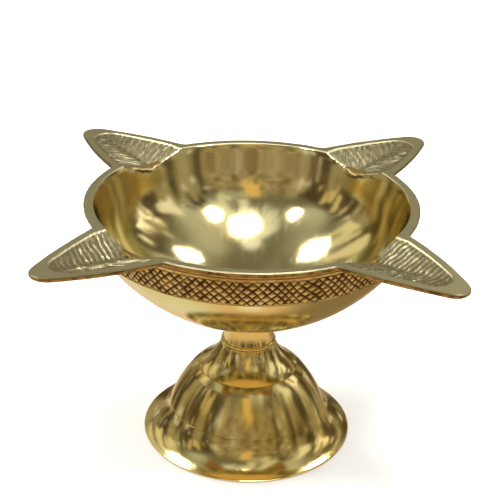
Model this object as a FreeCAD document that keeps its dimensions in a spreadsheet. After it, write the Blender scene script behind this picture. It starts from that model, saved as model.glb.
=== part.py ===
"""Four-spouted cast brass oil lamp on a bell-shaped foot.

The lamp stands on the XY plane with its axis on +Z and a spout on each diagonal. Two castings
make it: the bowl, whose rim plate grows into the four spouts, and the hollow bell that it stands
on. A threaded stud in the bowl's neck passes down through the bell's crown into a nut, so the
bowl turns off the bell by hand. Lengths are in millimetres and angles in degrees.
"""
import FreeCAD, Part
import os
import Sketcher

SIZES = {
    # rim plate
    "mouth_radius": 45.8,
    "mouth_bevel": 0.7,
    "rim_width": 2.2,
    "rim_thickness": 1.3,
    "rim_bevel": 0.3,
    # bowl
    "bowl_wall": 1.6,
    "lip_wall": 0.4,            # what the patterned band stands out from the mouth's edge
    "strip_drop": 3.0,          # plain strip between the rim plate and the patterned band
    "strip_inset": 0.4,
    "band_height": 8.0,
    "band_taper": 1.1,
    "band_bulge": 0.25,
    "dish_depth": 25.0,         # from the band's lower edge to the bottom of the bowl
    "dish_flat": 8.0,           # radius of the flat in the middle of the bottom
    "dish_bulge": 3.45,
    "crease_inset": 3.7,        # inner crease between wall and dish, from the band's lower edge
    "crease_drop": 2.6,
    "inner_bulge": 2.7,
    # spouts
    "spout_azimuth": 45.0,
    "spout_count": 4,
    "spout_length": 28.4,       # from the round rim's edge to the tip
    "spout_root_half": 14.4,
    "spout_belly_half": 9.3,
    "spout_belly_length": 14.0,
    "spout_tip_half": 3.8,
    "spout_tip_length": 2.2,
    "trough_setback": 5.0,      # how far inside the mouth's edge the trough starts
    "trough_depth": 4.6,
    "trough_root_half": 11.4,
    "trough_belly_half": 8.6,
    "trough_neck_half": 4.9,
    "trough_neck_gap": 4.4,     # from the narrow part of the trough to its end
    "trough_end_half": 0.5,
    "tip_border": 6.0,
    "keel_margin": 0.9,
    # neck
    "neck_length": 10.2,        # from the bell's crown to the bottom of the bowl
    "neck_end_radius": 7.7,
    "neck_waist": 0.35,
    "bead_height": 1.2,         # a half-round bead
    # bell
    "bell_height": 29.8,
    "foot_radius": 31.7,
    "foot_lip": 0.6,
    "flare_sag": 1.0,
    "lower_ring_radius": 23.8,
    "lower_ring_height": 8.4,
    "side_bulge": 0.5,
    "upper_ring_radius": 16.0,
    "upper_ring_drop": 8.6,
    "shoulder_sag": 0.8,
    "crown_radius": 8.2,
    "crown_thickness": 3.8,
    "bell_inset": 1.1,
    "ring_cut": 0.3,
    # stud, washer and nut
    "stud_radius": 3.0,
    "stud_grip": 8.0,           # length held in the neck
    "stud_tail": 1.4,           # length that shows below the nut
    "stud_chamfer": 0.5,
    "thread_clearance": 0.05,
    "crown_clearance": 0.3,
    "washer_radius": 6.0,
    "washer_thickness": 1.6,
    "washer_clearance": 0.2,
    "seat_margin": 1.2,
    "nut_flats": 10.0,
    "nut_thickness": 5.2,
    "nut_chamfer": 0.5,
}

# Heights up the lamp's axis and radii out from it, each worked out from the sizes above.
BOWL_BOTTOM = "(Sizes.bell_height + Sizes.neck_length)"
BAND_BASE = "(%s + Sizes.dish_depth)" % BOWL_BOTTOM
BAND_TOP = "(%s + Sizes.band_height)" % BAND_BASE
RIM_TOP = "(%s + Sizes.strip_drop)" % BAND_TOP
RIM_UNDERSIDE = "(%s - Sizes.rim_thickness)" % RIM_TOP
RIM_RADIUS = "(Sizes.mouth_radius + Sizes.rim_width)"
BAND_TOP_RADIUS = "(Sizes.mouth_radius + Sizes.lip_wall)"
BAND_BASE_RADIUS = "(%s - Sizes.band_taper)" % BAND_TOP_RADIUS
SPOUT_REACH = "(%s + Sizes.spout_length)" % RIM_RADIUS
TROUGH_MOUTH = "(Sizes.mouth_radius - Sizes.trough_setback)"
TROUGH_END = "(%s - Sizes.tip_border)" % SPOUT_REACH
UPPER_RING_HEIGHT = "(Sizes.bell_height - Sizes.upper_ring_drop)"
SEAT_HEIGHT = "(Sizes.bell_height - Sizes.crown_thickness)"
WASHER_UNDERSIDE = "(%s - Sizes.washer_thickness)" % SEAT_HEIGHT
NUT_UNDERSIDE = "(%s - Sizes.nut_thickness)" % WASHER_UNDERSIDE
THREAD_BORE = "(Sizes.stud_radius + Sizes.thread_clearance)"


def make_sheet(doc):
    """Keep every driving dimension in one spreadsheet, one alias each."""
    sheet = doc.addObject("Spreadsheet::Sheet", "Sizes")
    for row, (word, value) in enumerate(SIZES.items(), start=1):
        sheet.set("A%d" % row, word)
        sheet.set("B%d" % row, str(value))
        sheet.setAlias("B%d" % row, word)
    doc.recompute()
    return sheet


def make_body(doc, name):
    body = doc.addObject("PartDesign::Body", name)
    body.Label = name
    return body


def make_sketch(body, name, plane, offset=None):
    """Attach a new sketch to one of the body's own origin planes, raised by an expression."""
    sketch = body.newObject("Sketcher::SketchObject", name)
    planes = {feature.Role: feature for feature in body.Origin.OriginFeatures}
    sketch.AttachmentSupport = (planes[plane], "")
    sketch.MapMode = "FlatFace"
    if offset is not None:
        sketch.setExpression("AttachmentOffset.Base.z", offset)
    return sketch


def place_point(sketch, x, y):
    """Add a construction point whose two coordinates are held by expressions."""
    point = sketch.addGeometry(Part.Point(FreeCAD.Vector(1, 1, 0)), True)
    for kind, text in (("DistanceX", x), ("DistanceY", y)):
        held = sketch.addConstraint(Sketcher.Constraint(kind, -1, 1, point, 1, 1.0))
        sketch.setExpression("Constraints[%d]" % held, text)
    return point


def draw_outline(sketch, corners):
    """Close a loop through corners (x, y); a corner (mid_x, mid_y, x, y) is reached by an arc."""
    ends = [place_point(sketch, *corner[-2:]) for corner in corners]
    mids = [place_point(sketch, *corner[:2]) if len(corner) == 4 else None for corner in corners]
    sketch.Document.recompute()
    spots = {}
    for point in ends + [mid for mid in mids if mid is not None]:
        geometry = sketch.Geometry[point]
        spots[point] = FreeCAD.Vector(geometry.X, geometry.Y, 0)
    for index, end in enumerate(ends):
        start = ends[index - 1]
        mid = mids[index]
        if mid is None:
            edge = sketch.addGeometry(Part.LineSegment(spots[start], spots[end]), False)
            first, last = 1, 2
        else:
            # A sketch's arcs all run anticlockwise, so a clockwise one is drawn from its end.
            turning = (spots[mid] - spots[start]).cross(spots[end] - spots[mid])
            stops = [spots[start], spots[mid], spots[end]]
            first, last = 1, 2
            if turning.z < 0:
                stops.reverse()
                first, last = 2, 1
            edge = sketch.addGeometry(Part.Arc(*stops), False)
            sketch.addConstraint(Sketcher.Constraint("PointOnObject", mid, 1, edge))
        sketch.addConstraint(Sketcher.Constraint("Coincident", edge, first, start, 1))
        sketch.addConstraint(Sketcher.Constraint("Coincident", edge, last, end, 1))


def turn(body, kind, name, corners):
    """Turn an outline on the body's XZ plane about its Z axis, to add or to cut."""
    sketch = make_sketch(body, name + "_outline", "XZ_Plane")
    draw_outline(sketch, corners)
    feature = body.newObject(kind, name)
    feature.Profile = sketch
    feature.ReferenceAxis = (sketch, ["V_Axis"])
    feature.Angle = 360
    sketch.Visibility = False
    body.Document.recompute()
    return feature


def repeat_spouts(body, name, features):
    """Repeat features made along the body's X axis round its Z axis, once for each spout."""
    planes = {feature.Role: feature for feature in body.Origin.OriginFeatures}
    pattern = body.newObject("PartDesign::PolarPattern", name)
    pattern.Originals = features
    pattern.Axis = (planes["Z_Axis"], [""])
    pattern.Angle = 360
    pattern.setExpression("Occurrences", "Sizes.spout_count")
    body.Tip = pattern
    body.Document.recompute()
    return pattern


def dish_middle(flat_edge, rim, bulge):
    """Point halfway from the flat's edge to the dish's rim, moved outward and down by a bulge."""
    return tuple("((%s) + (%s)) / 2 %s %s" % (one, other, sign, bulge)
                 for one, other, sign in zip(flat_edge, rim, "+-"))


def arc_middle(start, end, bulge):
    """Point halfway from start to end, moved outward and upward by a bulge, or in by a sag."""
    return tuple("((%s) + (%s)) / 2 %s" % (one, other, bulge) for one, other in zip(start, end))


def trough_sections(grow, sink):
    """Half width, reach and depth of the trough's V at four stations, from mouth to tip."""
    stations = [
        ("Sizes.trough_root_half", TROUGH_MOUTH),
        ("Sizes.trough_belly_half",
         "(%s + Sizes.spout_belly_length - Sizes.trough_setback)" % RIM_RADIUS),
        ("Sizes.trough_neck_half", "(%s - Sizes.trough_neck_gap)" % TROUGH_END),
        ("Sizes.trough_end_half", "(%s - Sizes.trough_end_half / 5)" % TROUGH_END),
    ]
    fall = "Sizes.trough_depth / (%s - %s)" % (TROUGH_END, TROUGH_MOUTH)
    return [(half + grow, reach, "(%s - %s) * %s%s" % (TROUGH_END, reach, fall, sink))
            for half, reach in stations]


def loft_trough(body, kind, name, grow, sink, top):
    """Loft the V-shaped trough, or the keel below it, straight from station to station."""
    sketches = []
    for number, (half, reach, depth) in enumerate(trough_sections(grow, sink)):
        sketch = make_sketch(body, "%s_section_%d" % (name, number), "YZ_Plane", reach)
        draw_outline(sketch, [
            ("-(%s)" % half, top),
            (half, top),
            ("0", "%s - (%s)" % (RIM_TOP, depth)),
        ])
        sketch.Visibility = False
        sketches.append(sketch)
    loft = body.newObject(kind, name)
    loft.Profile = sketches[0]
    loft.Sections = sketches[1:]
    loft.Ruled = True
    body.Document.recompute()
    return loft


def make_bowl(doc):
    """Bowl, rim plate, four spouts and neck, cast in one piece."""
    body = make_body(doc, "bowl")
    strip_radius = BAND_TOP_RADIUS + " - Sizes.strip_inset"
    flat_edge = ("Sizes.dish_flat", BOWL_BOTTOM)
    band_base = (BAND_BASE_RADIUS, BAND_BASE)
    turn(body, "PartDesign::Revolution", "dish", [
        ("0", BOWL_BOTTOM),
        flat_edge,
        dish_middle(flat_edge, band_base, "Sizes.dish_bulge") + band_base,
        ("(%s + %s) / 2 + Sizes.band_bulge" % (BAND_BASE_RADIUS, BAND_TOP_RADIUS),
         "(%s + %s) / 2" % (BAND_BASE, BAND_TOP), BAND_TOP_RADIUS, BAND_TOP),
        (strip_radius, BAND_TOP + " + Sizes.strip_inset"),
        (strip_radius, RIM_UNDERSIDE),
        (RIM_RADIUS + " - Sizes.rim_bevel", RIM_UNDERSIDE),
        (RIM_RADIUS, RIM_UNDERSIDE + " + Sizes.rim_bevel"),
        (RIM_RADIUS, RIM_TOP + " - Sizes.rim_bevel"),
        (RIM_RADIUS + " - Sizes.rim_bevel", RIM_TOP),
        ("0", RIM_TOP),
    ])

    # The neck stands up into the bottom of the dish and ends below its inner face.
    neck_top = BOWL_BOTTOM + " + Sizes.bowl_wall * 0.75"
    bead_top = "Sizes.bell_height + Sizes.bead_height"
    socket_top = "Sizes.bell_height + Sizes.stud_grip"
    turn(body, "PartDesign::Revolution", "neck", [
        (THREAD_BORE, "Sizes.bell_height"),
        ("Sizes.neck_end_radius", "Sizes.bell_height"),
        ("Sizes.neck_end_radius + Sizes.bead_height / 2",
         "Sizes.bell_height + Sizes.bead_height / 2", "Sizes.neck_end_radius", bead_top),
        ("Sizes.neck_end_radius - Sizes.neck_waist", "(%s + %s) / 2" % (bead_top, neck_top),
         "Sizes.neck_end_radius", neck_top),
        ("0", neck_top),
        ("0", socket_top),
        (THREAD_BORE, socket_top),
    ])

    # One spout is made along X, from inside the bowl's wall out to its rounded tip.
    spout_root = "sqrt(%s^2 - Sizes.spout_root_half^2)" % RIM_RADIUS
    belly = "%s + Sizes.spout_belly_length" % RIM_RADIUS
    tip_start = "%s - Sizes.spout_tip_length" % SPOUT_REACH
    plan = make_sketch(body, "spout_plan", "XY_Plane", RIM_UNDERSIDE)
    draw_outline(plan, [
        (TROUGH_MOUTH, "-Sizes.spout_root_half"),
        (spout_root, "-Sizes.spout_root_half"),
        (belly, "-Sizes.spout_belly_half", tip_start, "-Sizes.spout_tip_half"),
        (SPOUT_REACH, "0", tip_start, "Sizes.spout_tip_half"),
        (belly, "Sizes.spout_belly_half", spout_root, "Sizes.spout_root_half"),
        (TROUGH_MOUTH, "Sizes.spout_root_half"),
    ])
    plan.Visibility = False
    plate = body.newObject("PartDesign::Pad", "spout_plate")
    plate.Profile = plan
    plate.setExpression("Length", "Sizes.rim_thickness")
    doc.recompute()
    keel = loft_trough(body, "PartDesign::AdditiveLoft", "spout_keel", " + Sizes.keel_margin",
                       " + Sizes.rim_thickness", "%s - Sizes.rim_thickness / 2" % RIM_TOP)
    repeat_spouts(body, "spouts", [plate, keel])

    # The inner wall slopes in from the mouth to a crease, and the dish turns from there.
    inner_bottom = BOWL_BOTTOM + " + Sizes.bowl_wall"
    inner_flat = ("Sizes.dish_flat", inner_bottom)
    crease = (BAND_BASE_RADIUS + " - Sizes.crease_inset", BAND_BASE + " - Sizes.crease_drop")
    turn(body, "PartDesign::Groove", "hollow", [
        ("0", inner_bottom),
        inner_flat,
        dish_middle(inner_flat, crease, "Sizes.inner_bulge") + crease,
        ("Sizes.mouth_radius - Sizes.mouth_bevel", RIM_TOP + " - Sizes.mouth_bevel"),
        ("Sizes.mouth_radius", RIM_TOP),
        ("0", RIM_TOP),
    ])
    trough = loft_trough(body, "PartDesign::SubtractiveLoft", "spout_trough", "", "", RIM_TOP)
    repeat_spouts(body, "troughs", [trough])
    body.setExpression("Placement.Rotation.Angle", "Sizes.spout_azimuth")
    return body


def make_bell(doc):
    """Hollow bell-shaped foot, cast in one piece and turned, with two scribed rings."""
    body = make_body(doc, "bell_base")
    lip = ("Sizes.foot_radius", "Sizes.foot_lip")
    lower = ("Sizes.lower_ring_radius", "Sizes.lower_ring_height")
    upper = ("Sizes.upper_ring_radius", UPPER_RING_HEIGHT)
    crown = ("Sizes.crown_radius", "Sizes.bell_height")
    flare_middle = arc_middle(lip, lower, "- Sizes.flare_sag")
    side_middle = arc_middle(lower, upper, "+ Sizes.side_bulge")
    shoulder_middle = arc_middle(upper, crown, "- Sizes.shoulder_sag")
    turn(body, "PartDesign::Revolution", "bell", [
        ("0", "0"),
        ("Sizes.foot_radius", "0"),
        lip,
        flare_middle + lower,
        side_middle + upper,
        shoulder_middle + crown,
        ("0", "Sizes.bell_height"),
    ])

    # The hollow is the same outline moved in and down, up to a flat seat under the crown.
    def inset(spot):
        return tuple("%s - Sizes.bell_inset" % value for value in spot)

    turn(body, "PartDesign::Groove", "bell_hollow", [
        ("0", "-Sizes.bell_inset"),
        (inset(lip)[0], "-Sizes.bell_inset"),
        inset(lip),
        inset(flare_middle) + inset(lower),
        inset(side_middle) + inset(upper),
        ("Sizes.washer_radius + Sizes.seat_margin", SEAT_HEIGHT),
        ("0", SEAT_HEIGHT),
    ])
    hole_radius = "Sizes.stud_radius + Sizes.crown_clearance"
    turn(body, "PartDesign::Groove", "crown_hole", [
        ("0", SEAT_HEIGHT + " - Sizes.crown_thickness"),
        (hole_radius, SEAT_HEIGHT + " - Sizes.crown_thickness"),
        (hole_radius, "Sizes.bell_height + Sizes.crown_thickness"),
        ("0", "Sizes.bell_height + Sizes.crown_thickness"),
    ])
    for name, (radius, height) in (("lower_ring", lower), ("upper_ring", upper)):
        turn(body, "PartDesign::Groove", name, [
            (radius + " - Sizes.ring_cut", height),
            (radius, height + " - Sizes.ring_cut"),
            (radius + " + Sizes.ring_cut", height),
            (radius, height + " + Sizes.ring_cut"),
        ])
    return body


def make_stud(doc):
    """Threaded stud from the neck's socket to below the nut, drawn at its outer diameter."""
    body = make_body(doc, "stud")
    tail = NUT_UNDERSIDE + " - Sizes.stud_tail"
    top = "Sizes.bell_height + Sizes.stud_grip"
    turn(body, "PartDesign::Revolution", "stud_turning", [
        ("0", tail),
        ("Sizes.stud_radius - Sizes.stud_chamfer", tail),
        ("Sizes.stud_radius", tail + " + Sizes.stud_chamfer"),
        ("Sizes.stud_radius", top + " - Sizes.stud_chamfer"),
        ("Sizes.stud_radius - Sizes.stud_chamfer", top),
        ("0", top),
    ])
    return body


def make_washer(doc):
    """Flat washer between the crown's underside and the nut."""
    blank = doc.addObject("Part::Cylinder", "washer_blank")
    blank.setExpression("Radius", "Sizes.washer_radius")
    blank.setExpression("Height", "Sizes.washer_thickness")
    blank.setExpression("Placement.Base.z", WASHER_UNDERSIDE)
    bore = doc.addObject("Part::Cylinder", "washer_bore")
    bore.setExpression("Radius", "Sizes.stud_radius + Sizes.washer_clearance")
    bore.setExpression("Height", "3 * Sizes.washer_thickness")
    bore.setExpression("Placement.Base.z", WASHER_UNDERSIDE + " - Sizes.washer_thickness")
    washer = doc.addObject("Part::Cut", "washer")
    washer.Base = blank
    washer.Tool = bore
    washer.Label = "washer"
    return washer


def make_nut(doc):
    """Hexagonal nut: a turned ring with chamfered corners, then six flats cut down its side."""
    body = make_body(doc, "nut")
    corner = "(Sizes.nut_flats / 2 / cos(30))"
    flat = "(Sizes.nut_flats / 2)"
    turn(body, "PartDesign::Revolution", "nut_ring", [
        (THREAD_BORE, NUT_UNDERSIDE),
        (flat, NUT_UNDERSIDE),
        (corner, NUT_UNDERSIDE + " + Sizes.nut_chamfer"),
        (corner, WASHER_UNDERSIDE + " - Sizes.nut_chamfer"),
        (flat, WASHER_UNDERSIDE),
        (THREAD_BORE, WASHER_UNDERSIDE),
    ])
    plan = make_sketch(body, "nut_plan", "XY_Plane", WASHER_UNDERSIDE)
    for reach in (corner, "2 * " + corner):
        draw_outline(plan, [("%s * cos(%d)" % (reach, angle), "%s * sin(%d)" % (reach, angle))
                            for angle in range(0, 360, 60)])
    flats = body.newObject("PartDesign::Pocket", "nut_flats")
    flats.Profile = plan
    flats.setExpression("Length", "Sizes.nut_thickness")
    plan.Visibility = False
    doc.recompute()
    return body


def check_and_write(doc, pieces):
    """Stop on any failed object or unsound shape, then write one STEP file per piece."""
    doc.recompute()
    failed = [item.Name for item in doc.Objects if {"Invalid", "Error"} & set(item.State)]
    if failed:
        raise RuntimeError("failed objects: " + ", ".join(failed))
    for piece in pieces:
        if piece.Shape.isNull() or not piece.Shape.isValid() or len(piece.Shape.Solids) != 1:
            raise RuntimeError("unsound shape: " + piece.Label)
    os.makedirs("parts", exist_ok=True)
    for piece in pieces:
        piece.Shape.exportStep("parts/%s.step" % piece.Label)
        box = piece.Shape.BoundBox
        print("%-10s volume %9.1f  x %.2f..%.2f  z %.2f..%.2f"
              % (piece.Label, piece.Shape.Volume, box.XMin, box.XMax, box.ZMin, box.ZMax))


document = FreeCAD.newDocument("OilLamp")
make_sheet(document)
check_and_write(document, [
    make_bell(document),
    make_bowl(document),
    make_stud(document),
    make_washer(document),
    make_nut(document),
])
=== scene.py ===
"""Cast brass oil lamp: a round bowl with four leaf-shaped spouts on a turned bell foot."""
import math

import bpy
import numpy as np
from mathutils import Matrix, Vector, noise


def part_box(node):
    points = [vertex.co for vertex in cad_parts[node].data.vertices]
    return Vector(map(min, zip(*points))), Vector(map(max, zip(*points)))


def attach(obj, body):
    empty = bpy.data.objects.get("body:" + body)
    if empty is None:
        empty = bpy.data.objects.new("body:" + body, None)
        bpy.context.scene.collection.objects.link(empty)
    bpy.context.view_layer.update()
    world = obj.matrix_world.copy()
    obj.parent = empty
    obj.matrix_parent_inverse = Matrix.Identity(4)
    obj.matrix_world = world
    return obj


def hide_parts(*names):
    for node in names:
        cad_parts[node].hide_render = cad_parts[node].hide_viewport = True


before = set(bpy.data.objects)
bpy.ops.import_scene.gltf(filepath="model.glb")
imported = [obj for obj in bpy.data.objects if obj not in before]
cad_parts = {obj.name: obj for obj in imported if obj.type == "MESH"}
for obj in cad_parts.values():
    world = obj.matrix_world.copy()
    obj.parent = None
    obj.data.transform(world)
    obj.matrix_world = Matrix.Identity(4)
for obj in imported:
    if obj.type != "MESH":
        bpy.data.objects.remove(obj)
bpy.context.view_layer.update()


# Camera and studio. A long lens looks down into the bowl from the front, over a pale floor,
# with a soft lamp on each side.
MM = 0.001
bowl_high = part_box("bowl")[1]
bell_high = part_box("bell_base")[1]
rim_height = bowl_high.z / MM
rim_radius = 48.0

camera_distance = 6.776 * rim_radius * MM
camera_height = 4.473 * rim_radius * MM
camera_pitch = 0.4448
camera_pan = -0.0007
camera_roll = 0.0257
camera = bpy.data.objects.new("camera", bpy.data.cameras.new("camera"))
bpy.context.collection.objects.link(camera)
forward = Vector((
    math.sin(camera_pan) * math.cos(camera_pitch),
    math.cos(camera_pan) * math.cos(camera_pitch),
    -math.sin(camera_pitch),
))
level = forward.cross(Vector((0, 0, 1))).normalized()
upright = level.cross(forward)
side_axis = math.cos(camera_roll) * level + math.sin(camera_roll) * upright
top_axis = math.cos(camera_roll) * upright - math.sin(camera_roll) * level
turned = Matrix((side_axis, top_axis, -forward)).transposed()
camera.matrix_world = Matrix.Translation((0, -camera_distance, camera_height)) @ turned.to_4x4()
camera.data.sensor_width = 36.0
camera.data.lens = 88.72
camera.data.clip_end = 50.0
bpy.context.scene.camera = camera
bpy.context.scene.view_settings.view_transform = "Standard"


class Wire:
    """A socket in a material's nodes. Arithmetic on wires adds Math nodes."""

    def __init__(self, tree, socket=None):
        self.tree = tree
        self.socket = socket

    def node(self, kind, settings=None, sockets=None, out=0):
        """Add a node: its settings first, then the values or links of its sockets."""
        made = self.tree.nodes.new(kind)
        for name, value in (settings or {}).items():
            if name == "stops":
                ramp = made.color_ramp.elements
                while len(ramp) < len(value):
                    ramp.new(1.0)
                for stop, (place, shade) in zip(ramp, value):
                    stop.position = place
                    stop.color = shade
            else:
                setattr(made, name, value)
        for name, value in (sockets or {}).items():
            if isinstance(value, Wire):
                self.tree.links.new(value.socket, made.inputs[name])
            else:
                made.inputs[name].default_value = value
        return Wire(self.tree, made.outputs[out] if made.outputs else None)

    def math(self, operation, *values):
        return self.node("ShaderNodeMath", {"operation": operation}, dict(enumerate(values)))

    def __add__(self, other):
        return self.math("ADD", self, other)

    __radd__ = __add__

    def __sub__(self, other):
        return self.math("SUBTRACT", self, other)

    def __rsub__(self, other):
        return self.math("SUBTRACT", other, self)

    def __mul__(self, other):
        return self.math("MULTIPLY", self, other)

    __rmul__ = __mul__

    def __truediv__(self, other):
        return self.math("DIVIDE", self, other)

    def __pow__(self, other):
        return self.math("POWER", self, other)

    def between(self, low, high):
        """0 below low and 1 above high, eased between them."""
        return self.node("ShaderNodeMapRange", {"interpolation_type": "SMOOTHSTEP"},
                         {0: self, 1: low, 2: high, 3: 0.0, 4: 1.0})


def colour_mix(factor, under, over):
    """One colour over another, by a factor that varies."""
    return factor.node("ShaderNodeMix", {"data_type": "RGBA"}, {0: factor, 6: under, 7: over}, 2)


def new_material(name):
    material = bpy.data.materials.new(name)
    material.use_nodes = True
    material.node_tree.nodes.clear()
    return material, Wire(material.node_tree)


def mesh_object(name, spots, faces, materials, face_materials=None, crease=None):
    """Make a mesh object from points in millimetres, smooth but for edges sharper than crease."""
    mesh = bpy.data.meshes.new(name)
    mesh.from_pydata((np.asarray(spots, float) * MM).tolist(), [], faces)
    for material in materials:
        mesh.materials.append(material)
    mesh.polygons.foreach_set("use_smooth", [crease is not None] * len(mesh.polygons))
    if face_materials is not None:
        mesh.polygons.foreach_set("material_index", face_materials)
    mesh.update()
    if crease is not None:
        mesh.set_sharp_from_angle(angle=math.radians(crease))
    made = bpy.data.objects.new(name, mesh)
    bpy.context.collection.objects.link(made)
    return made


floor_paint, shade = new_material("floor_paint")
speckle = shade.node("ShaderNodeTexNoise", None, {"Scale": 3.0, "Detail": 3.0})
floor_colour = colour_mix(speckle, (0.90, 0.90, 0.89, 1), (0.93, 0.93, 0.92, 1))
paper = shade.node("ShaderNodeBsdfPrincipled", None, {"Base Color": floor_colour, "Roughness": 0.9})
shade.node("ShaderNodeOutputMaterial", None, {"Surface": paper})
floor_half = 6000.0
floor = mesh_object("floor", [(-floor_half, -floor_half, 0), (floor_half, -floor_half, 0),
                              (floor_half, floor_half, 0), (-floor_half, floor_half, 0)],
                    [(0, 1, 2, 3)], [floor_paint])
floor.visible_glossy = False

world = bpy.data.worlds.new("studio")
bpy.context.scene.world = world
world.use_nodes = True
world.node_tree.nodes["Background"].inputs["Color"].default_value = (1.0, 1.0, 1.0, 1)
world.node_tree.nodes["Background"].inputs["Strength"].default_value = 1.05


def aim(made, place):
    """Stand something at a place, facing the middle of the bowl."""
    middle = Vector((0, 0, rim_height * 0.8 * MM))
    spot = Vector(place)
    made.location = spot
    made.rotation_euler = (middle - spot).to_track_quat("-Z", "Y").to_euler()


def from_bowl(azimuth, elevation, reach):
    """Place at an azimuth and elevation in degrees from the middle of the bowl, in metres."""
    turn, lift = math.radians(azimuth), math.radians(elevation)
    return (reach * math.cos(turn) * math.cos(lift), reach * math.sin(turn) * math.cos(lift),
            reach * math.sin(lift) + rim_height * 0.8 * MM)


def soft_lamp(name, azimuth, elevation, width, height, power):
    lamp = bpy.data.lights.new(name, "AREA")
    lamp.shape = "RECTANGLE"
    lamp.size = width
    lamp.size_y = height
    lamp.energy = power
    lamp.color = (1.0, 0.96, 0.89)
    made = bpy.data.objects.new(name, lamp)
    bpy.context.collection.objects.link(made)
    aim(made, from_bowl(azimuth, elevation, 1.2))
    made.visible_camera = False


soft_lamp("lamp_above", 288, 78, 0.30, 0.20, 7.0)
soft_lamp("lamp_back_left", 149, 53, 0.20, 0.24, 5.0)
soft_lamp("lamp_back_right", 41, 51, 0.09, 0.22, 2.5)
soft_lamp("lamp_front_right", 327, 62, 0.10, 0.16, 2.0)
soft_lamp("lamp_front_left", 210, 59, 0.08, 0.14, 1.6)


# Studio surroundings that only show as reflections: a dim brown room with bright strips of window,
# shelves at the front and a few pale and dark things round it, over a tan table.
room_paint, shade = new_material("room_paint")
spot = shade.node("ShaderNodeTexCoord", None, None, 3)
axes = shade.node("ShaderNodeSeparateXYZ", None, {0: spot})
east = axes
north = Wire(shade.tree, axes.socket.node.outputs[1])
height = Wire(shade.tree, axes.socket.node.outputs[2])
bearing = shade.math("ARCTAN2", north, east)
stretched = shade.node("ShaderNodeCombineXYZ", None, {0: bearing * 2.6, 1: height * 0.35, 2: 0.0})
broad = shade.node("ShaderNodeTexNoise", None,
                   {"Vector": stretched, "Scale": 1.6, "Detail": 1.5, "Roughness": 0.4})
narrow_place = shade.node("ShaderNodeCombineXYZ", None,
                          {0: bearing * 8.0, 1: height * 2.2, 2: 4.0})
narrow = shade.node("ShaderNodeTexNoise", None,
                    {"Vector": narrow_place, "Scale": 1.3, "Detail": 2.0, "Roughness": 0.5})
brown = (0.085, 0.06, 0.03, 1)
olive = (0.38, 0.32, 0.19, 1)
cream = (1.0, 0.95, 0.85, 1)
tan = (0.88, 0.62, 0.38, 1)
wall = colour_mix(broad.between(0.45, 0.57), brown, olive)
wall = colour_mix(narrow.between(0.58, 0.70), wall, cream)
overhead = shade.node("ShaderNodeTexNoise", None,
                      {"Vector": spot, "Scale": 1.3, "Detail": 1.0, "Roughness": 0.4})
ceiling = colour_mix(overhead.between(0.40, 0.60), (0.20, 0.18, 0.12, 1), (0.56, 0.54, 0.44, 1))
surround = colour_mix(height.between(0.55, 0.74), wall, ceiling)
surround = colour_mix(height.between(-0.30, -0.42), surround, tan)
shelf_place = shade.node("ShaderNodeCombineXYZ", None,
                         {0: bearing * 5.0, 1: height * 4.0 + narrow * 0.3, 2: 0.0})
shelves = shade.node("ShaderNodeTexBrick", {"offset": 0.37},
                     {"Vector": shelf_place, "Scale": 1.6, "Mortar Size": 0.03, "Bias": -0.1,
                      "Color1": (0.10, 0.06, 0.025, 1), "Color2": (0.92, 0.82, 0.56, 1),
                      "Mortar": (0.30, 0.16, 0.05, 1)})
ahead = shade.math("ABSOLUTE", shade.math("ABSOLUTE", bearing) - math.pi / 2)
front_side = north.between(-0.1, -0.5) * height.between(0.62, 0.50) * height.between(0.0, 0.08)
surround = colour_mix(front_side * ahead.between(0.75, 0.6) * 0.75, surround, shelves)
patch_ragged = 0.22
patches = {
    "white hanging": (301, 55, 15, (0.80, 0.77, 0.60, 1)),
    "bright ceiling": (272, 75, 12, (1.0, 0.98, 0.88, 1)),
    "left shelf": (200, 22, 13, (0.74, 0.60, 0.32, 1)),
    "bright doorway": (22, 29, 12, (1.5, 1.38, 1.15, 1)),
    "right window": (130, 32, 10, (0.90, 0.82, 0.60, 1)),
    "right curtain": (352, 36, 14, (1.0, 0.95, 0.78, 1)),
    "left curtain": (143, 33, 17, (0.86, 0.76, 0.50, 1)),
    "dark beam": (328, 41, 8, (0.07, 0.05, 0.02, 1)),
    "wooden front": (270, 36, 12, (0.84, 0.58, 0.22, 1)),
    "pale table end": (150, -48, 34, (0.84, 0.80, 0.62, 1)),
    "dark table end": (48, -48, 34, (0.28, 0.20, 0.10, 1)),
}
for azimuth, elevation, size, colour in patches.values():
    turn, lift = math.radians(azimuth), math.radians(elevation)
    toward = (math.cos(turn) * math.cos(lift), math.sin(turn) * math.cos(lift), math.sin(lift))
    facing = shade.node("ShaderNodeVectorMath", {"operation": "DOT_PRODUCT"},
                        {0: spot, 1: toward}, 1)
    facing = facing + (narrow - 0.5) * patch_ragged
    share = facing.between(math.cos(math.radians(size)), math.cos(math.radians(size * 0.6)))
    surround = colour_mix(share, surround, colour)
glow = shade.node("ShaderNodeEmission", None, {"Color": surround, "Strength": 1.0})
shade.node("ShaderNodeOutputMaterial", None, {"Surface": glow})


def room_dome(reach, lines, rows):
    """A dome round the lamp, of unit object coordinates, so that its pattern is by direction."""
    spots = []
    for row in range(1, rows):
        lift = math.pi * (row / rows - 0.5)
        for line in range(lines):
            turn = 2 * math.pi * line / lines
            spots.append((math.cos(turn) * math.cos(lift) / MM,
                          math.sin(turn) * math.cos(lift) / MM, math.sin(lift) / MM))
    faces = []
    for row in range(rows - 2):
        for line in range(lines):
            beside = (line + 1) % lines
            faces.append((row * lines + line, (row + 1) * lines + line,
                          (row + 1) * lines + beside, row * lines + beside))
    made = mesh_object("room", spots, faces, [room_paint], crease=180)
    made.scale = (reach, reach, reach)
    made.location = (0, 0, rim_height * 0.5 * MM)
    made.visible_camera = False
    made.visible_diffuse = False
    made.visible_shadow = False


room_reach = 4.0
room_dome(room_reach, 64, 32)


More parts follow.
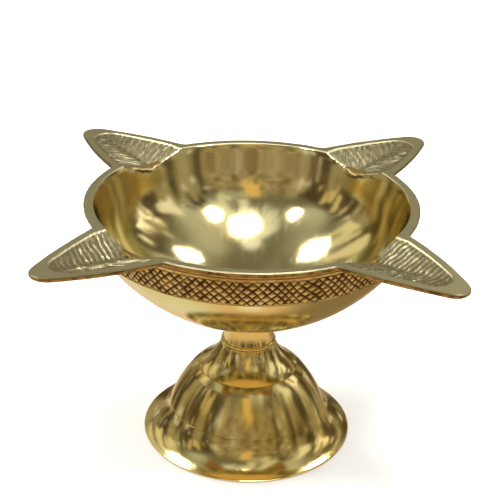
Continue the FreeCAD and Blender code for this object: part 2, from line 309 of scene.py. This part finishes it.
# Bell foot: brass, cast hollow and turned bright outside. Two rings are scribed round it, and the
# inside is left as cast.
bell_top = bell_high.z / MM
foot_radius = bell_high.x / MM
crown_hole_radius = 3.3


def arc(start, middle, end, count):
    """Points along the circle through three (radius, height) points, without the first."""
    (ax, ay), (bx, by), (cx, cy) = start, middle, end
    twice = 2 * (ax * (by - cy) + bx * (cy - ay) + cx * (ay - by))
    ux = ((ax ** 2 + ay ** 2) * (by - cy) + (bx ** 2 + by ** 2) * (cy - ay)
          + (cx ** 2 + cy ** 2) * (ay - by)) / twice
    uy = ((ax ** 2 + ay ** 2) * (cx - bx) + (bx ** 2 + by ** 2) * (ax - cx)
          + (cx ** 2 + cy ** 2) * (bx - ax)) / twice
    first = math.atan2(ay - uy, ax - ux)
    via = (math.atan2(by - uy, bx - ux) - first) % (2 * math.pi)
    sweep = (math.atan2(cy - uy, cx - ux) - first) % (2 * math.pi)
    if via > sweep:
        sweep -= 2 * math.pi
    reach = math.hypot(ax - ux, ay - uy)
    return [(ux + reach * math.cos(first + sweep * step / count),
             uy + reach * math.sin(first + sweep * step / count)) for step in range(1, count + 1)]


def skin(name, rings, materials, face_rule=None, first_pole=None, last_pole=None, crease=32):
    """Cover rings of points. Close each end with a pole, or join the last ring to the first."""
    lines = len(rings[0])
    spots = [point for ring in rings for point in ring]
    faces, kinds = [], []
    joined = first_pole is None and last_pole is None
    for row in range(len(rings) if joined else len(rings) - 1):
        low, high = row * lines, (row + 1) % len(rings) * lines
        kind = face_rule(row) if face_rule else 0
        for line in range(lines):
            beside = (line + 1) % lines
            faces.append((low + line, high + line, high + beside, low + beside))
            kinds.append(kind)
    for pole, ring, swap in ((first_pole, 0, False), (last_pole, len(rings) - 1, True)):
        if pole is not None:
            tip = len(spots)
            spots.append(pole)
            kind = face_rule(min(ring, len(rings) - 2)) if face_rule else 0
            for line in range(lines):
                beside = (line + 1) % lines
                edge = (ring * lines + line, ring * lines + beside)
                faces.append((tip,) + (edge[::-1] if swap else edge))
                kinds.append(kind)
    return mesh_object(name, spots, faces, materials, kinds, crease)


def turned_rings(outline, lines):
    """Rings for an outline of (radius, height) turned about the lamp's axis."""
    turns = [2 * math.pi * line / lines for line in range(lines)]
    return [[(radius * math.cos(turn), radius * math.sin(turn), up) for turn in turns]
            for radius, up in outline]


def polished_brass(name, tone, dull, turned_marks, cloud_scale=55.0):
    """Bright turned brass: soft tarnish clouds, lathe marks and wipe marks."""
    material, shade = new_material(name)
    spot = shade.node("ShaderNodeTexCoord", None, None, 3)
    axes = shade.node("ShaderNodeSeparateXYZ", None, {0: spot})
    across = axes
    along = Wire(shade.tree, axes.socket.node.outputs[1])
    up = Wire(shade.tree, axes.socket.node.outputs[2])
    out = (across * across + along * along) ** 0.5
    clouds = shade.node("ShaderNodeTexNoise", None,
                        {"Vector": spot, "Scale": cloud_scale, "Detail": 3.0, "Roughness": 0.55})
    ring_place = shade.node("ShaderNodeCombineXYZ", None, {0: out * 1000, 1: up * 1000, 2: 0.0})
    lathe = shade.node("ShaderNodeTexNoise", None,
                       {"Vector": ring_place, "Scale": 2.2, "Detail": 4.0, "Roughness": 0.7})
    wipe_place = shade.node("ShaderNodeMapping", None, {0: spot, 3: (900.0, 150.0, 260.0)})
    wipes = shade.node("ShaderNodeTexNoise", None,
                       {"Vector": wipe_place, "Scale": 1.0, "Detail": 3.0, "Roughness": 0.6})
    bright, warm = tone
    colour = colour_mix(clouds.between(0.40, 0.68), bright, warm)
    colour = colour_mix(lathe.between(0.62, 0.80) * 0.25, colour, warm)
    rough = dull + clouds * 0.05 + wipes.between(0.5, 0.75) * 0.05
    bump = shade.node("ShaderNodeBump", None,
                      {"Height": lathe * turned_marks + wipes * 0.12, "Strength": 0.30,
                       "Distance": 0.00004})
    metal = shade.node("ShaderNodeBsdfPrincipled", None,
                       {"Base Color": colour, "Roughness": rough, "Metallic": 1.0,
                        "Normal": bump})
    shade.node("ShaderNodeOutputMaterial", None, {"Surface": metal})
    return material


bright_brass = polished_brass("bright_brass", ((0.82, 0.71, 0.35, 1), (0.79, 0.62, 0.24, 1)),
                              0.11, 1.0)
cast_brass = polished_brass("cast_brass", ((0.55, 0.40, 0.17, 1), (0.38, 0.26, 0.10, 1)),
                            0.38, 0.5)

lower_ring = (23.8, 8.4)
upper_ring = (16.0, bell_top - 8.6)
crown_edge = (8.2, bell_top)
foot_lip = (foot_radius, 0.6)
scribe = 0.13
inset = 1.1
crown_thickness = 3.8
seat_radius = 7.2
inner_foot_radius = 29.2


def scribed(spot, slope):
    """A fine V groove across the outline at a spot, along a slope of (radius, height)."""
    reach = math.hypot(*slope)
    along = (slope[0] / reach, slope[1] / reach)
    inward = (-along[1], along[0])
    return [(spot[0] - along[0] * scribe, spot[1] - along[1] * scribe),
            (spot[0] + inward[0] * scribe * 1.3, spot[1] + inward[1] * scribe * 1.3),
            (spot[0] + along[0] * scribe, spot[1] + along[1] * scribe)]


flare = arc(foot_lip, (26.75, 3.5), lower_ring, 22)
side = arc(lower_ring, (20.4, 15.3), upper_ring, 22)
shoulder = arc(upper_ring, (11.3, 24.7), crown_edge, 20)
bell_outline = [(foot_radius - 0.2, 0.0), (foot_radius, 0.18), (foot_radius, 0.45),
                (foot_radius - 0.18, 0.60), (foot_radius - 0.6, 0.72)]
bell_outline += flare[3:-1] + scribed(side[0], (-3.9, 6.6)) + side[1:-2]
bell_outline += scribed(shoulder[1], (-5.2, 4.0)) + shoulder[2:-1]
bell_outline += [(crown_edge[0] + 0.12, bell_top - 0.2), (crown_edge[0] - 0.15, bell_top)]
bell_outline += [(crown_hole_radius, bell_top), (crown_hole_radius, bell_top - crown_thickness)]
seat = (seat_radius, bell_top - crown_thickness)
inner_upper = (upper_ring[0] - inset, upper_ring[1] - inset)
inner_lower = (lower_ring[0] - inset, lower_ring[1] - inset)
bell_outline += [seat, inner_upper]
outside_rows = len(bell_outline) - 4
bell_outline += arc(inner_upper, (19.3, 14.2), inner_lower, 12)
bell_outline += arc(inner_lower, (25.5, 2.7), (inner_foot_radius, 0.0), 12)
bell = skin("bell_foot", turned_rings(bell_outline[::-1], 360), [bright_brass, cast_brass],
            lambda row: 0 if row >= len(bell_outline) - 1 - outside_rows else 1)
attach(bell, "stand")
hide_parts("bell_base")


# Fixing under the crown: a steel stud screwed into the neck, with a flat washer and a hexagonal
# nut. The thread is cut on the stud, and the nut and washer are stampings.
stud_low, stud_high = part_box("stud")
washer_low, washer_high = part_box("washer")
nut_low, nut_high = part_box("nut")
thread_pitch = 1.0
thread_depth = 0.45

fastener_steel, shade = new_material("fastener_steel")
spot = shade.node("ShaderNodeTexCoord", None, None, 3)
grain_place = shade.node("ShaderNodeMapping", None, {0: spot, 3: (500.0, 500.0, 3000.0)})
grain = shade.node("ShaderNodeTexNoise", None,
                   {"Vector": grain_place, "Scale": 1.0, "Detail": 3.0, "Roughness": 0.6})
stain = shade.node("ShaderNodeTexNoise", None, {"Vector": spot, "Scale": 260.0, "Detail": 3.0})
steel = colour_mix(stain.between(0.45, 0.75), (0.56, 0.55, 0.53, 1), (0.38, 0.34, 0.29, 1))
bump = shade.node("ShaderNodeBump", None,
                  {"Height": grain, "Strength": 0.25, "Distance": 0.00003})
metal = shade.node("ShaderNodeBsdfPrincipled", None,
                   {"Base Color": steel, "Roughness": 0.26 + stain * 0.16, "Metallic": 1.0,
                    "Normal": bump})
shade.node("ShaderNodeOutputMaterial", None, {"Surface": metal})


def threaded_stud(radius, low, high, lines):
    """A rod with a V thread that runs out at both chamfered ends."""
    chamfer = 0.6
    rows = int((high - low) / thread_pitch * 10)
    rings = []
    for row in range(rows + 1):
        up = low + (high - low) * row / rows
        room = min(up - low, high - up)
        ring = []
        for line in range(lines):
            turn = 2 * math.pi * line / lines
            phase = (up / thread_pitch - line / lines) % 1.0
            reach = radius - thread_depth * min(1.0, 1.35 * abs(2 * phase - 1))
            reach = min(reach, radius - chamfer + room)
            ring.append((reach * math.cos(turn), reach * math.sin(turn), up))
        rings.append(ring)
    return skin("stud_thread", rings[::-1], [fastener_steel], None, (0, 0, high), (0, 0, low), 50)


stud = threaded_stud(stud_high.x / MM, stud_low.z / MM, stud_high.z / MM, 48)
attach(stud, "stud")
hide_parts("stud")

washer_radius = washer_high.x / MM
washer_bottom, washer_top = washer_low.z / MM, washer_high.z / MM
washer_bore = 3.2
burr = 0.15
washer_outline = [
    (washer_bore, washer_top), (washer_bore, washer_bottom),
    (washer_radius - burr, washer_bottom), (washer_radius, washer_bottom + burr),
    (washer_radius, washer_top - burr), (washer_radius - burr, washer_top),
]
washer = skin("flat_washer", turned_rings(washer_outline[::-1], 96), [fastener_steel])
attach(washer, "stand")
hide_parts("washer")

nut_bottom, nut_top = nut_low.z / MM, nut_high.z / MM
nut_flat = 5.0
nut_bore = 3.05
nut_slope = 0.5 / (nut_flat / math.cos(math.radians(30)) - nut_flat)


def nut_rings(lines):
    """Rings of a hexagonal nut whose corners are turned back at both faces."""
    rings = [[] for _ in range(6)]
    for line in range(lines):
        turn = 2 * math.pi * line / lines
        flat_turn = (turn % math.radians(60)) - math.radians(30)
        reach = nut_flat / math.cos(flat_turn)
        drop = (reach - nut_flat) * nut_slope + 0.05
        path = [(nut_bore, nut_top), (nut_flat - 0.1, nut_top), (reach, nut_top - drop),
                (reach, nut_bottom + drop), (nut_flat - 0.1, nut_bottom), (nut_bore, nut_bottom)]
        for ring, (out, up) in zip(rings, path):
            ring.append((out * math.cos(turn), out * math.sin(turn), up))
    return rings


nut = skin("hexagonal_nut", nut_rings(96), [fastener_steel], crease=20)
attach(nut, "stand")
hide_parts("nut")


# Bowl: one brass casting with its rim, four leaf-shaped spouts and neck. The bowl is turned and
# polished; the rim and spouts are ground flat and the leaves are cut with a chisel.
mouth_bevel = 0.7
crease = (41.4, 62.4)
wall_lean = (45.1 - 41.4) / (75.3 - 62.4)
inner_bottom = 41.6
bowl_bottom = 40.0
band_foot = (45.1, 65.0)
band_top = 73.0
strip_radius = 45.8
plate = 1.3
spout_root = (45.7, 14.4)
spout_belly = (62.0, 9.3)
spout_end = (74.2, 3.8)
spout_tip = 76.4
border = 2.3
leaf_end = 70.4
leaf_depth = 4.3
leaf_step = 0.3
spouts = {225.0: (-0.35, 0.9, 1.6, 0.24), 315.0: (0.0, -0.8, 1.6, 0.24),
          45.0: (0.62, 0.0, 2.2, 0.30), 135.0: (0.45, 0.0, 2.2, 0.30)}
quarter_lines = 130
socket_radius = 3.05
socket_depth = 8.0
blend_reach = 5.5


def spout_edge():
    """Bearing and radius of points along half of a spout's edge, from its tip to past its root."""
    side_run = [spout_root] + arc(spout_root, spout_belly, spout_end, 60)
    tip_run = arc(spout_end, (spout_tip, 0.0), (spout_end[0], -spout_end[1]), 40)[:20]
    slope = (side_run[0][0] - side_run[1][0], side_run[0][1] - side_run[1][1])
    past = [(spout_root[0] + slope[0] * step, spout_root[1] + slope[1] * step)
            for step in range(20, 0, -1)]
    run = past + side_run + tip_run
    bearings = np.array([math.atan2(across, out) for out, across in run])
    reaches = np.array([math.hypot(out, across) for out, across in run])
    return bearings[::-1], reaches[::-1], run


edge_bearings, edge_reaches, edge_run = spout_edge()
edge_outs = np.array([out for out, across in edge_run])
edge_halves = np.array([across for out, across in edge_run])


def plan_radius(bearing):
    """Outer radius at a bearing from the nearest spout, with a small fillet at its root."""
    bearing = abs(bearing)
    reach = float(np.interp(bearing, edge_bearings, edge_reaches))
    if bearing > edge_bearings[-1]:
        reach = 0.0
    fillet = 1.6
    near = max(0.0, min(1.0, 0.5 + 0.5 * (reach - rim_radius) / fillet))
    return rim_radius + (reach - rim_radius) * near + fillet * near * (1 - near)


def line_bearings():
    """Bearings across one quarter of the rim, evenly spaced along its edge, tip in the middle."""
    fine = np.linspace(-math.pi / 4, math.pi / 4, 8001)
    reach = np.array([plan_radius(bearing) for bearing in fine])
    steps = np.hypot(np.diff(reach * np.cos(fine)), np.diff(reach * np.sin(fine)))
    run = np.concatenate([[0.0], np.cumsum(steps)])
    return np.interp(np.linspace(0, run[-1], quarter_lines + 1)[:-1], run, fine)


def half_width(out):
    return float(np.interp(out, edge_outs, edge_halves))


def leaf_top(reach, bearing, cut, centre):
    """Height of the rim and spout's top face, and how far it is inside the chiselled leaf."""
    lean, tilt, pitch, ridge_height = cut
    out, across = reach * math.cos(bearing), reach * math.sin(bearing)
    lift = tilt * max(0.0, (out - 46.0) / 30.0) ** 2
    half = min(half_width(max(out, 47.0)) - border, 11.4)
    if out > leaf_end - 2.4:
        close = min(1.0, (out - leaf_end + 2.4) / 2.4)
        half *= math.sqrt(max(0.0, 1 - close * close))
    inside = half - abs(across)
    if inside <= 0 or out < 38:
        return rim_height + lift, 0.0
    floor_drop = leaf_depth * (leaf_end - out) / (leaf_end - 43.0)
    valley = math.sqrt(across * across + 0.16) / max(half, 0.4)
    drop = floor_drop * max(0.0, 1 - valley)
    step = leaf_step * min(1.0, inside / 0.45)
    way = out * math.cos(lean) - abs(across) * math.sin(lean)
    wobble = noise.noise(Vector((out * 0.22, across * 0.22, centre))) * 0.8
    wave = math.sin(2 * math.pi * (way + wobble) / pitch)
    ridge = math.copysign(abs(wave) ** 0.7, wave)
    fade = min(1.0, inside / 1.5) * min(1.0, (abs(across) + 0.3) / 1.6)
    fade *= min(1.0, max(0.0, (leaf_end - out) / 4.0)) * min(1.0, max(0.0, out - 44.0) / 4.0)
    fade *= 0.75 + 0.5 * noise.noise(Vector((out * 0.5, across * 0.4, centre + 9)))
    return rim_height + lift - step - drop + ridge_height * ridge * fade, min(1.0, inside / 0.5)


def bowl_rings():
    """Rings from the middle of the bowl, up and over the rim and down to the stud's socket."""
    bearings = line_bearings()
    dish_rows, wall_rows, top_rows, under_rows = 16, 4, 92, 16
    inner_dish = [(3.0, inner_bottom), (6.0, inner_bottom + 0.04), (8.0, inner_bottom + 0.16)]
    inner_dish += arc((8.0, inner_bottom + 0.16), (27.4, 49.3), crease, dish_rows)[:-2]
    blend_start = inner_dish[-1]
    blend_end = (crease[0] + blend_reach * wall_lean, crease[1] + blend_reach)
    for step in range(1, 9):
        share = step / 8
        inner_dish.append(tuple(
            a * (1 - share) ** 2 + 2 * b * share * (1 - share) + c * share ** 2
            for a, b, c in zip(blend_start, crease, blend_end)))
    outer_dish = arc(band_foot, (30.0, 49.05), (8.0, bowl_bottom), 24)
    outer_dish = [spot for spot in outer_dish if spot[0] > 9.2]
    neck = [(8.35, bowl_bottom + 0.35), (7.72, bowl_bottom - 0.4)]
    neck += arc(neck[-1], (7.35, 36.0), (7.62, bell_top + 1.35), 9)
    neck += arc(neck[-1], (8.22, bell_top + 0.6), (7.75, bell_top), 7)
    neck += [(socket_radius, bell_top), (socket_radius, bell_top + socket_depth)]

    columns, masks = [], []
    for centre, cut in spouts.items():
        tilt = cut[1]
        for bearing in bearings:
            turn = math.radians(centre) + bearing
            rough = noise.noise(Vector((math.cos(turn), math.sin(turn), 0)) * 26)
            fine = noise.noise(Vector((math.cos(turn), math.sin(turn), 3)) * 90)
            reach = plan_radius(bearing) + 0.10 * rough + 0.10 * fine
            far = max(0.0, min(1.0, (reach - rim_radius) / 6.0))
            column = list(inner_dish)
            mask = [0.0] * len(column)
            sill = leaf_top(45.6, bearing, cut, centre)[0] - mouth_bevel
            for row in range(1, wall_rows + 1):
                up = blend_end[1] + (sill - blend_end[1]) * row / wall_rows
                column.append((crease[0] + (up - crease[1]) * wall_lean, up))
                mask.append(0.0)
            start = column[-1][0]
            for share, height_share in ((0.35, 0.70), (1.0, 1.0)):
                column.append((start + mouth_bevel * share, sill + mouth_bevel * height_share))
                mask.append(0.0)
            start += mouth_bevel
            stop = reach - 0.3
            for row in range(1, top_rows + 1):
                out = start + (stop - start) * row / top_rows
                up, inside = leaf_top(out, bearing, cut, centre)
                column.append((out, up + 0.03 * rough * far))
                mask.append(inside)
            edge_up = column[-1][1]
            ragged = 0.22 * fine * far
            column += [(reach, edge_up - 0.3 + ragged), (reach, edge_up - plate + 0.3 + ragged),
                       (reach - 0.3, edge_up - plate)]
            mask += [0.0] * 3
            start = reach - 0.3
            for row in range(1, under_rows + 1):
                out = start + (strip_radius - start) * row / under_rows
                smooth = leaf_top(out, bearing, cut, -1000.0)[0]
                upright_drop = rim_height - smooth
                lift = tilt * max(0.0, (out * math.cos(bearing) - 46.0) / 30.0) ** 2
                column.append((out, min(rim_height + lift - plate,
                                        rim_height + lift - plate - (upright_drop + lift))))
                mask.append(0.0)
            under = column[-1][1]
            for count, (out, up) in enumerate(((strip_radius, band_top + 0.4), (45.3, 72.6),
                                               (45.1, 69.0), (44.7, 66.0))):
                column.append((out, min(up, under - 0.05 * (count + 1))))
                mask.append(0.0)
            column.append(band_foot)
            column += outer_dish + neck
            mask += [0.0] * (1 + len(outer_dish) + len(neck))
            columns.append((turn, column))
            masks.append(mask)
    rings = [[(column[row][0] * math.cos(turn), column[row][0] * math.sin(turn), column[row][1])
              for turn, column in columns] for row in range(len(columns[0][1]))]
    mask_rows = [[mask[row] for mask in masks] for row in range(len(masks[0]))]
    mouth_row = len(inner_dish) + wall_rows
    bounds = {"mouth": mouth_row, "edge": mouth_row + 2 + top_rows,
              "under": mouth_row + 2 + top_rows + 3 + under_rows}
    return rings, mask_rows, bounds


def ground_brass():
    """Flat ground brass with file marks, and rows of fine chisel cuts inside the leaves. The raised
    cuts carry a painted highlight and the grooves between them painted shade.
    """
    material, shade = new_material("ground_brass")
    spot = shade.node("ShaderNodeTexCoord", None, None, 3)
    leaf = shade.node("ShaderNodeAttribute", {"attribute_name": "leaf"}, None, 2)
    grit = shade.node("ShaderNodeTexNoise", None,
                      {"Vector": spot, "Scale": 1500.0, "Detail": 3.0, "Roughness": 0.7})
    patches = shade.node("ShaderNodeTexNoise", None,
                         {"Vector": spot, "Scale": 90.0, "Detail": 3.0, "Roughness": 0.6})
    cut_place = shade.node("ShaderNodeMapping", None, {0: spot, 3: (1500.0, 420.0, 300.0)})
    cuts = shade.node("ShaderNodeTexNoise", None,
                      {"Vector": cut_place, "Scale": 1.0, "Detail": 2.0, "Roughness": 0.6})
    colour = colour_mix(patches.between(0.35, 0.7), (0.54, 0.51, 0.33, 1), (0.45, 0.42, 0.26, 1))
    colour = colour_mix(leaf * 0.6, colour, (0.25, 0.23, 0.13, 1))
    # Pale on the raised chisel cuts: painted highlight.
    colour = colour_mix(cuts.between(0.54, 0.70) * leaf * 0.45, colour, (0.80, 0.74, 0.52, 1))
    bevel = leaf.between(0.05, 0.4) * leaf.between(0.95, 0.6)
    colour = colour_mix(bevel * 0.35, colour, (0.86, 0.80, 0.56, 1))
    # Dark in the grooves between the chisel cuts: painted shade.
    colour = colour_mix(cuts.between(0.46, 0.34) * leaf * 0.45, colour, (0.20, 0.15, 0.07, 1))
    bump = shade.node("ShaderNodeBump", None,
                      {"Height": grit * 0.25 + cuts * leaf * 0.8, "Strength": 0.6,
                       "Distance": 0.00012})
    metal = shade.node("ShaderNodeBsdfPrincipled", None,
                       {"Base Color": colour, "Roughness": 0.34 + patches * 0.16,
                        "Metallic": 1.0, "Normal": bump})
    shade.node("ShaderNodeOutputMaterial", None, {"Surface": metal})
    return material


satin_brass = ground_brass()
inside_brass = polished_brass("inside_brass", ((0.80, 0.72, 0.41, 1), (0.77, 0.64, 0.32, 1)),
                              0.08, 0.9)
# The rim plate's side edge and underside take a darker copy of the brass: painted shade under the
# rim's overhang.
painted_shade_edge_brass = polished_brass("painted_shade_edge_brass", ((0.46, 0.32, 0.12, 1), (0.17, 0.10, 0.035, 1)),
                            0.32, 0.5, 420.0)
rings, leaf_masks, rows = bowl_rings()


def bowl_face(row):
    if row < rows["mouth"]:
        return 0
    if row < rows["edge"]:
        return 1
    if row < rows["under"]:
        return 2
    return 3


bowl = skin("bowl_casting", rings, [inside_brass, satin_brass, painted_shade_edge_brass, bright_brass],
            bowl_face, (0, 0, inner_bottom), (0, 0, bell_top + socket_depth), 40)
leaf_values = [value for ring in leaf_masks for value in ring] + [0.0, 0.0]
bowl.data.attributes.new("leaf", "FLOAT", "POINT").data.foreach_set("value", leaf_values)
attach(bowl, "bowl")
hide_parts("bowl")


# Patterned band round the bowl under the rim: rolled into the casting as crossing grooves that
# leave rows of small raised diamonds, coloured darker in the grooves.
diamond_width = 2.45
diamond_height = 2.34
groove_depth = 0.36


def knurled_brass():
    """Worn bright tops to the diamonds, and a dark colour in the grooves by their depth."""
    material, shade = new_material("knurled_brass")
    spot = shade.node("ShaderNodeTexCoord", None, None, 3)
    depth = shade.node("ShaderNodeAttribute", {"attribute_name": "groove"}, None, 2)
    patches = shade.node("ShaderNodeTexNoise", None,
                         {"Vector": spot, "Scale": 130.0, "Detail": 3.0, "Roughness": 0.6})
    grit = shade.node("ShaderNodeTexNoise", None,
                      {"Vector": spot, "Scale": 1800.0, "Detail": 2.0, "Roughness": 0.6})
    worn = colour_mix(patches.between(0.35, 0.7), (0.86, 0.67, 0.33, 1), (0.60, 0.42, 0.17, 1))
    dark = (0.09, 0.055, 0.02, 1)
    colour = colour_mix((depth + grit * 0.3 - 0.15).between(0.25, 0.85), worn, dark)
    bump = shade.node("ShaderNodeBump", None,
                      {"Height": grit, "Strength": 0.3, "Distance": 0.00005})
    metal = shade.node("ShaderNodeBsdfPrincipled", None,
                       {"Base Color": colour, "Roughness": 0.24 + depth * 0.25 + patches * 0.1,
                        "Metallic": 1.0, "Normal": bump})
    shade.node("ShaderNodeOutputMaterial", None, {"Surface": metal})
    return material


def band_rings(lines, rows_up):
    """The band's outer face with its diamonds, closed by a plain face behind."""
    repeat = round(2 * math.pi * strip_radius / diamond_width)
    foot, head = band_foot[1] - 0.05, band_top
    outline = arc(band_foot, (45.9, 69.0), (46.15, head), rows_up)
    outline = [band_foot] + outline
    rings, grooves = [], []
    for row, (radius, up) in enumerate(outline):
        ring, cuts = [], []
        tall = (up - foot) / diamond_height
        for line in range(lines):
            turn = 2 * math.pi * line / lines
            drift = 0.42 * noise.noise(Vector((math.cos(turn), math.sin(turn), up * 0.02)) * 9)
            wide = repeat * line / lines
            blur = 0.22 * noise.noise(Vector((math.cos(turn) * 24, math.sin(turn) * 24, up * 0.5)))
            cut = 0.0
            for slant in (wide + tall + drift, wide - tall + drift * 0.6):
                gap = abs((slant % 1.0) - 0.5) * 2 + blur
                cut = max(cut, max(0.0, (gap - 0.30) / 0.70))
            wave = 0.55 * noise.noise(Vector((math.cos(turn), math.sin(turn), 0.3)) * 3.5)
            room = min(1.0, (up - foot) / 0.5, max(0.0, (head + wave * 0.8 - 0.35 - up) / 0.4))
            room = max(0.0, room)
            reach = radius - groove_depth * cut * room - 0.25 * (1 - room)
            ring.append((reach * math.cos(turn), reach * math.sin(turn), up))
            cuts.append(cut * room)
        rings.append(ring)
        grooves.append(cuts)
    for radius, up in ((44.6, head), (44.1, foot + 1.0)):
        rings.append([(radius * math.cos(2 * math.pi * line / lines),
                       radius * math.sin(2 * math.pi * line / lines), up)
                      for line in range(lines)])
        grooves.append([0.0] * lines)
    return rings, grooves


band_loops, groove_rows = band_rings(1536, 42)
band = skin("knurled_band", band_loops[::-1], [knurled_brass()], crease=60)
groove_values = [value for row in groove_rows[::-1] for value in row]
band.data.attributes.new("groove", "FLOAT", "POINT").data.foreach_set("value", groove_values)
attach(band, "bowl")
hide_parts("bowl")
